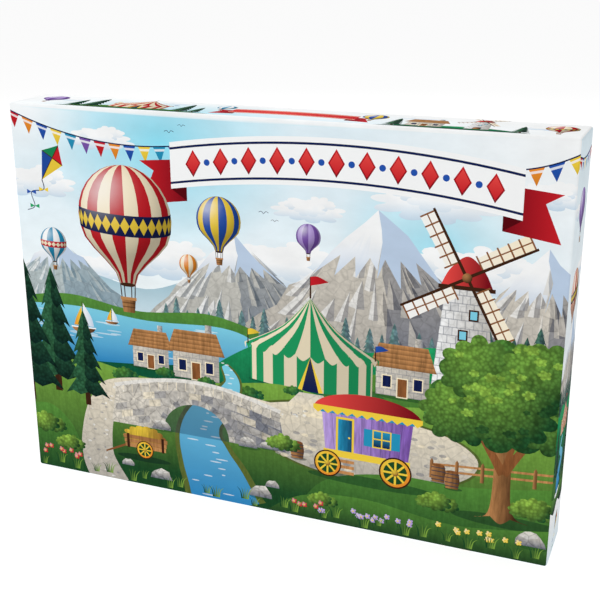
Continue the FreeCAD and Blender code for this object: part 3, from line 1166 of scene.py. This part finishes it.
    def column_paint(self, source, outs):
        """The print's colour at these places along a wall's side edge."""
        middle = sum(outs) / len(outs)
        pair = next((k for k in range(len(source) - 1) if source[k + 1][0] >= middle), len(source) - 2)
        (low, a), (high, b) = source[pair], source[pair + 1]
        texture, paint = self.edge_paint.get(frozenset((a, b)), (BARE, {a: WHITE, b: WHITE}))
        return [mix(paint[a], paint[b], (out - low) / (high - low)) for out in outs], texture

    def rim_loop(self, edges_of_wall, columns):
        """The rim's vertices, each with its base on the panel, its way out and how far off a corner is."""
        loop = []
        for (way, along, reach, half), edge, column in zip(self.walls, edges_of_wall, columns):
            for distance, index in edge:
                loop.append((index, way * reach + along * distance, way, half - abs(distance)))
            for step in range(1, CORNER_STEPS):
                aside = turned(way, QUARTER * step / CORNER_STEPS)
                loop.append((column[step][-1][1], way * reach + along * half, aside, 0.0))
        return loop

    def inner_profile(self, from_corner):
        """The section from the outer rim to the inside of the panel: radius, depth, normal and finish."""
        section = []
        for centre, start in ((FOLD_RADIUS - RIM_RADIUS, 0), (WRAP_FACE + RIM_RADIUS, 1)):
            for step in range(RIM_STEPS + 1):
                turn = QUARTER * (start + step / RIM_STEPS)
                cos, sin = math.cos(turn), math.sin(turn)
                depth = self.depth - RIM_RADIUS * (1 - sin)
                section.append((centre + RIM_RADIUS * cos, depth, (cos, sin), 0))
        past_rim = self.depth - TRIM_START - (TURN_IN - TRIM_START) * min(from_corner / TRIM, 1.0)
        section.append((WRAP_FACE, past_rim, (-1, 0), 0))
        section.append((BOARD_FACE, past_rim - CUT_SLOPE, (-1, 0), 1))
        for step in range(RIM_STEPS + 1):
            cos, sin = math.cos(QUARTER * step / RIM_STEPS), math.sin(QUARTER * step / RIM_STEPS)
            section.append((BOARD_FACE * cos, BOARD + BOARD_FACE * (1 - sin), (-cos, sin), 1))
        return section

    def build_inside(self, loop):
        """The rounded rim, the turned-in wrap, the bare walls and the fold to the inside of the panel."""
        sections = [self.inner_profile(item[3]) for item in loop]
        levels = len(sections[0])
        wrap_end = 2 * RIM_STEPS + 2
        flats = (RIM_STEPS, wrap_end - 1, wrap_end, wrap_end + 1)
        travel = [0.0]
        for item, following in zip(loop, loop[1:] + loop[:1]):
            travel.append(travel[-1] + max((following[1] - item[1]).length, MAP_LEAST))
        rings = [[item[0] for item in loop]]
        for level in range(1, levels):
            ring, gathered = [], {}
            for (_, base, way, _), section in zip(loop, sections):
                radius, depth = section[level][:2]
                key = (round(base.x, 3), round(base.y, 3))
                if level < levels - 1 or key not in gathered:
                    gathered[key] = self.add(self.solid_place(base + way * radius, depth))
                ring.append(gathered[key])
            rings.append(ring)
        reach = self.half.x + self.wall_end
        foot = -self.half.y - self.wall_end - MAP_GAP
        for level in range(levels - 1):
            for i in range(len(loop)):
                k = (i + 1) % len(loop)
                texture, paint = BARE, {}
                if level < wrap_end:
                    texture, paint = self.edge_paint.get(frozenset((rings[0][i], rings[0][k])), (BARE, {}))
                corners = []
                places = ((i, level, i), (k, level, i + 1), (k, level + 1, i + 1), (i, level + 1, i))
                for a, b, stop in places:
                    aside, inward = sections[a][level + 1 if level in flats else b][2]
                    normal = self.solid_way(loop[a][2] * aside, inward)
                    place = (2 * reach * travel[stop] / travel[-1] - reach, foot - MAP_ROW * b)
                    if rings[b][a] not in [corner[0] for corner in corners]:
                        corners.append((rings[b][a], normal, paint.get(rings[0][a], WHITE), texture, place))
                if len(corners) > 2:
                    self.face(sections[i][level][3], corners[::-1])
        return rings[-1]

    def build_inner_panel(self, ring, loop):
        """The bare board inside the panel, cut into a grid that follows its slight sink."""
        bases = {index: item[1] for index, item in zip(ring, loop)}
        outline, points = list(bases), list(bases.values())
        step = 3 * GRID
        for i in range(1, int(2 * self.half.x / step)):
            for j in range(1, int(2 * self.half.y / step)):
                points.append(Vector((-self.half.x + step * i, -self.half.y + step * j)))
        count = len(outline)
        flat, _, triangles, origins, _, _ = delaunay_2d_cdt(points, [], [list(range(count))], 1, SNAP)
        corners = []
        for place, origin in zip(flat, origins):
            known = [o for o in origin if o < count]
            depth, slope = self.sink(*place)
            index = outline[known[0]] if known else self.add(self.solid_place(place, BOARD + depth))
            low = MAP_SCALE * (place.y - self.half.y) - self.half.y - self.wall_end - MAP_DROP
            corners.append((index, self.solid_way(-slope, 1), WHITE, BARE, (MAP_SCALE * place.x, low)))
        for triangle in triangles:
            self.face(1, [corners[i] for i in triangle[::-1]])

    def build(self, pictures=()):
        """The whole skin as one object."""
        flat, here = self.build_outside(pictures)
        on_side, on_rim = {}, [[] for _ in self.walls]
        for i, index in here.items():
            for number, (way, along, reach, half) in enumerate(self.walls):
                out, distance = flat[i].dot(way) - reach, flat[i].dot(along)
                if out < -SNAP or abs(distance) > half + SNAP:
                    continue
                for side in (-1, 1):
                    if abs(distance - side * half) < SNAP:
                        on_side.setdefault((number, side), []).append((max(out, 0.0), index))
                if abs(out - self.wall_end) < SNAP:
                    on_rim[number].append((distance, index))
        columns = []
        for number in range(4):
            edges = sorted(on_side[number, 1]), sorted(on_side[(number + 1) % 4, -1])
            columns.append(self.build_corner(number, edges))
        loop = self.rim_loop([sorted(rim) for rim in on_rim], columns)
        self.build_inner_panel(self.build_inside(loop), loop)
        return self.make_object()

    def make_object(self):
        """The skin's object, with its colours, textures, bake map and normals."""
        mesh = bpy.data.meshes.new(self.name)
        mesh.from_pydata([tuple(p) for p in self.places], [], self.faces)
        mesh.polygons.foreach_set("material_index", self.slots)
        mesh.polygons.foreach_set("use_smooth", [True] * len(self.faces))
        normals, colours, textures, maps = zip(*self.corners)
        for name, values in (("print_colour", [(*c, 1.0) for c in colours]), ("print_texture", textures)):
            layer = mesh.color_attributes.new(name=name, type="FLOAT_COLOR", domain="CORNER")
            layer.data.foreach_set("color", np.array(values, np.float32).ravel())
        layer = mesh.uv_layers.new(name="OFBake")
        spread = np.array(maps, np.float32)
        low, size = spread.min(0), (spread.max(0) - spread.min(0)).max()
        layer.data.foreach_set("uv", (MAP_MARGIN + (1 - 2 * MAP_MARGIN) * (spread - low) / size).ravel())
        mesh.normals_split_custom_set([tuple(n) for n in normals])
        mesh.update()
        piece = bpy.data.objects.new(self.name, mesh)
        bpy.context.scene.collection.objects.link(piece)
        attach(piece, self.body)
        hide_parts(self.node)
        return piece


# Materials


class Nodes:
    """A small helper that adds shader nodes and links them."""

    def __init__(self, name):
        self.material = bpy.data.materials.new(name)
        self.material.use_nodes = True
        self.tree = self.material.node_tree
        self.shader = self.tree.nodes["Principled BSDF"]
        self.where = self.add("ShaderNodeTexCoord").outputs["Object"]

    def fill(self, node, inputs):
        """Gives a node's inputs, by name or number, their values or links."""
        for key, value in inputs.items():
            if isinstance(value, bpy.types.NodeSocket):
                self.tree.links.new(value, node.inputs[key])
            else:
                node.inputs[key].default_value = value

    def add(self, kind, inputs=None, **settings):
        """A node with its settings and inputs."""
        node = self.tree.nodes.new(kind)
        for key, value in settings.items():
            setattr(node, key, value)
        self.fill(node, inputs or {})
        return node

    def noise(self, scale, detail=3.0, roughness=0.55, where=None):
        """Noise from 0 to 1."""
        inputs = {"Vector": where or self.where, "Scale": scale, "Detail": detail, "Roughness": roughness}
        return self.add("ShaderNodeTexNoise", inputs).outputs["Fac"]

    def cells(self, scale, feature="F1", where=None):
        """The distance to the middle or the edge of scattered cells."""
        inputs = {"Vector": where or self.where, "Scale": scale}
        return self.add("ShaderNodeTexVoronoi", inputs, feature=feature).outputs["Distance"]

    def scaled(self, *scale):
        """Coordinates stretched along each axis."""
        return self.add("ShaderNodeMapping", {"Vector": self.where, "Scale": scale}).outputs["Vector"]

    def maths(self, operation, *values):
        """One sum on two or three values."""
        return self.add("ShaderNodeMath", dict(enumerate(values)), operation=operation).outputs[0]

    def between(self, *inputs):
        """A value carried from its range to another. The inputs are the value and the two ranges."""
        return self.add("ShaderNodeMapRange", dict(enumerate(inputs))).outputs[0]

    def tinted(self, colour, strength):
        """A colour made darker or lighter."""
        return self.add("ShaderNodeVectorMath", {0: colour, "Scale": strength}, operation="SCALE").outputs[0]

    def bump(self, strength, distance, height):
        """A normal from a height."""
        inputs = {"Strength": strength, "Distance": distance, "Height": height}
        return self.add("ShaderNodeBump", inputs).outputs["Normal"]


def print_texture(n, strength):
    """The strength of ink, varied as leaves, stones, grain and drifting mist where the print has them."""
    texture = n.add("ShaderNodeVertexColor", layer_name="print_texture")
    parts = n.add("ShaderNodeSeparateColor", {"Color": texture.outputs["Color"]})
    leaves = n.between(n.cells(330.0), 0.1, 0.7, 0.32, -0.34)
    leaves = n.maths("ADD", leaves, n.between(n.noise(120.0), 0.3, 0.7, -0.2, 0.2))
    stones = n.between(n.cells(110.0, "DISTANCE_TO_EDGE"), 0.0, 0.08, -0.3, 0.04)
    stones = n.maths("ADD", stones, n.between(n.noise(260.0, 5.0), 0.3, 0.7, -0.26, 0.26))
    grain = n.between(n.noise(1.0, 4.0, where=n.scaled(420.0, 420.0, 60.0)), 0.3, 0.7, -0.3, 0.3)
    drift = n.between(n.noise(1.0, 5.0, where=n.scaled(26.0, 26.0, 46.0)), 0.3, 0.75, -0.05, 0.07)
    for part, amount in (("Red", leaves), ("Green", stones), ("Blue", grain)):
        strength = n.maths("MULTIPLY_ADD", parts.outputs[part], amount, strength)
    return n.maths("MULTIPLY_ADD", texture.outputs["Alpha"], drift, strength)


def coated_paper(name, printed):
    """Glossy coated paper over board: ink from the print's colours, or bare white."""
    n = Nodes(name)
    ink_colour = n.add("ShaderNodeVertexColor", layer_name="print_colour").outputs["Color"]
    strength = n.maths("MULTIPLY_ADD", n.noise(9.0), 0.05, 0.965)
    if printed:
        strength = print_texture(n, strength)
    fibre = n.maths("ADD", n.noise(1400.0, 4.0), n.maths("MULTIPLY", n.noise(34.0, 1.0), 6.0))
    n.fill(n.shader, {
        "Base Color": n.tinted(ink_colour, strength),
        "Roughness": n.between(n.noise(60.0), 0.3, 0.7, 0.3, 0.38),
        "Coat Weight": 0.04,
        "Coat Roughness": 0.16,
        "Specular IOR Level": 0.0,
        "Normal": n.bump(0.16, 0.0001, fibre),
    })
    return n.material


def bare_board(name):
    """Grey board made from waste paper: soft fibres with light and dark specks."""
    n = Nodes(name)
    tone = n.between(n.noise(240.0, 6.0, 0.7), 0.3, 0.7, 0.86, 1.1)
    specks = n.between(n.cells(1.0, where=n.scaled(900.0, 900.0, 520.0)), 0.06, 0.2, 0.62, 1.0)
    n.fill(n.shader, {
        "Base Color": n.tinted(BOARD_GREY, n.maths("MULTIPLY", tone, specks)),
        "Roughness": 0.86,
        "Specular IOR Level": 0.25,
        "Normal": n.bump(0.35, 0.0002, n.noise(900.0, 5.0)),
    })
    return n.material


# The two pieces


def printed_lid():
    """The lid, with a picture on its panel and on each of its four walls."""
    lid = Tray("printed_lid", "lid", "lid", "printed_board")
    fold = lid.arc / 2
    s, t = lid.half.x + fold, lid.half.y + fold
    side = lid.wall_end - fold
    patches = ((150, 330, 130, SKY_TOP), (400, 268, 90, SKY_TOP), (0, 366, 90, WHITE), (500, 360, 190, WHITE))

    def sky(u, v):
        air = mix(SKY_LOW, SKY_PALE, (v - 190) / 100)
        for u0, v0, reach, tone in patches:
            air = mix(tone, air, math.hypot(u - u0, 1.3 * (v - v0)) / reach)
        return air

    front = Picture(-s, -t, 2 * s, 2 * t, sky)
    balloons_over_a_valley(front)
    top = Picture(-s, t, 2 * s, side, lambda u, v: mix(sky(u, 2 * t), WHITE, v / side))
    bottom = Picture(-s, -t - side, 2 * s, side, upright(SKY_LOW, SKY_PALE, 0, side))
    for strip in (top, bottom):
        fair_on_a_strip(strip)
    ends = [Picture(left, -t, side, 2 * t, upright(WHITE, SKY_PALE, 60, 358)) for left in (s, -s - side)]
    for strip in ends:
        valley_on_a_tall_strip(strip)
    return lid.build([front, top, bottom, *ends])


def plain_tray():
    """The base tray, wrapped in plain white."""
    return Tray("white_base_tray", "base_tray", "base_tray", "plain_board").build()


# The stage

FLOOR_REACH = 30.0
FLOOR_GLOW = 0.82
SKY_LIGHT = 0.4
BOX_MIDDLE = Vector((0.0, 0.0, 0.18))


def stage():
    """A wide white floor. It glows a little, so that it stays white to the edge of the picture."""
    mesh = bpy.data.meshes.new("floor")
    rim = arc(0, 0, FLOOR_REACH, FLOOR_REACH, 64, math.tau)[:-1]
    mesh.from_pydata([(x, y, 0) for x, y in rim], [], [range(64)])
    floor = bpy.data.objects.new("floor", mesh)
    bpy.context.scene.collection.objects.link(floor)
    n = Nodes("floor_paper")
    n.fill(n.shader, {
        "Base Color": (0.35, 0.35, 0.35, 1),
        "Roughness": 1.0,
        "Specular IOR Level": 0.0,
        "Emission Color": (1, 1, 1, 1),
        "Emission Strength": FLOOR_GLOW,
    })
    mesh.materials.append(n.material)


def soft_light(name, place, width, height, power):
    """A large soft lamp that points at the box."""
    lamp = bpy.data.lights.new(name, "AREA")
    lamp.shape = "RECTANGLE"
    lamp.size, lamp.size_y = width, height
    lamp.energy = power
    obj = bpy.data.objects.new(name, lamp)
    obj.location = place
    obj.rotation_euler = (BOX_MIDDLE - Vector(place)).to_track_quat("-Z", "Y").to_euler()
    bpy.context.scene.collection.objects.link(obj)


def lights():
    """Soft studio light from above and in front, and a pale sky of light all round."""
    soft_light("overhead", (-0.3, 0.2, 2.0), 1.8, 1.4, 19)
    soft_light("front_left", (-1.4, -2.0, 1.3), 1.4, 1.4, 15.5)
    soft_light("right", (2.0, -0.9, 1.0), 1.2, 1.2, 3.5)
    soft_light("behind", (-0.8, 2.2, 1.3), 1.4, 1.4, 5)
    world = bpy.data.worlds.new("studio")
    world.use_nodes = True
    tree = world.node_tree
    background = tree.nodes["Background"]
    background.inputs["Color"].default_value = (1, 1, 1, 1)
    seen = tree.nodes.new("ShaderNodeLightPath").outputs["Is Camera Ray"]
    strength = tree.nodes.new("ShaderNodeMapRange")
    strength.inputs["To Min"].default_value = SKY_LIGHT
    strength.inputs["To Max"].default_value = 1.0
    tree.links.new(seen, strength.inputs["Value"])
    tree.links.new(strength.outputs["Result"], background.inputs["Strength"])
    bpy.context.scene.world = world
    bpy.context.scene.view_settings.view_transform = "Standard"


# The camera, worked out from the box's corners in the photograph
AZIMUTH = math.radians(21.81)
ELEVATION = math.radians(18.56)
AIM = Vector((0.015, 0.006, 0.194))
DISTANCE = 0.9325
FOCAL_PIXELS = 1059.7
FRAME_PIXELS = 600
SENSOR_WIDTH = 36.0


def camera():
    """The camera at the photograph's place."""
    level = math.cos(ELEVATION)
    back = Vector((math.sin(AZIMUTH) * level, -math.cos(AZIMUTH) * level, math.sin(ELEVATION)))
    data = bpy.data.cameras.new("camera")
    data.sensor_width = SENSOR_WIDTH
    data.lens = FOCAL_PIXELS * SENSOR_WIDTH / FRAME_PIXELS
    view = bpy.data.objects.new("camera", data)
    view.location = AIM + back * DISTANCE
    view.rotation_euler = back.to_track_quat("Z", "Y").to_euler()
    bpy.context.scene.collection.objects.link(view)
    bpy.context.scene.camera = view


def main():
    """Builds the pieces and the stage round them."""
    camera()
    print_paper = coated_paper("printed_paper", True)
    white_paper = coated_paper("white_paper", False)
    board = bare_board("grey_board")
    for piece, paper in ((printed_lid(), print_paper), (plain_tray(), white_paper)):
        piece.data.materials.append(paper)
        piece.data.materials.append(board)
    stage()
    lights()


main()
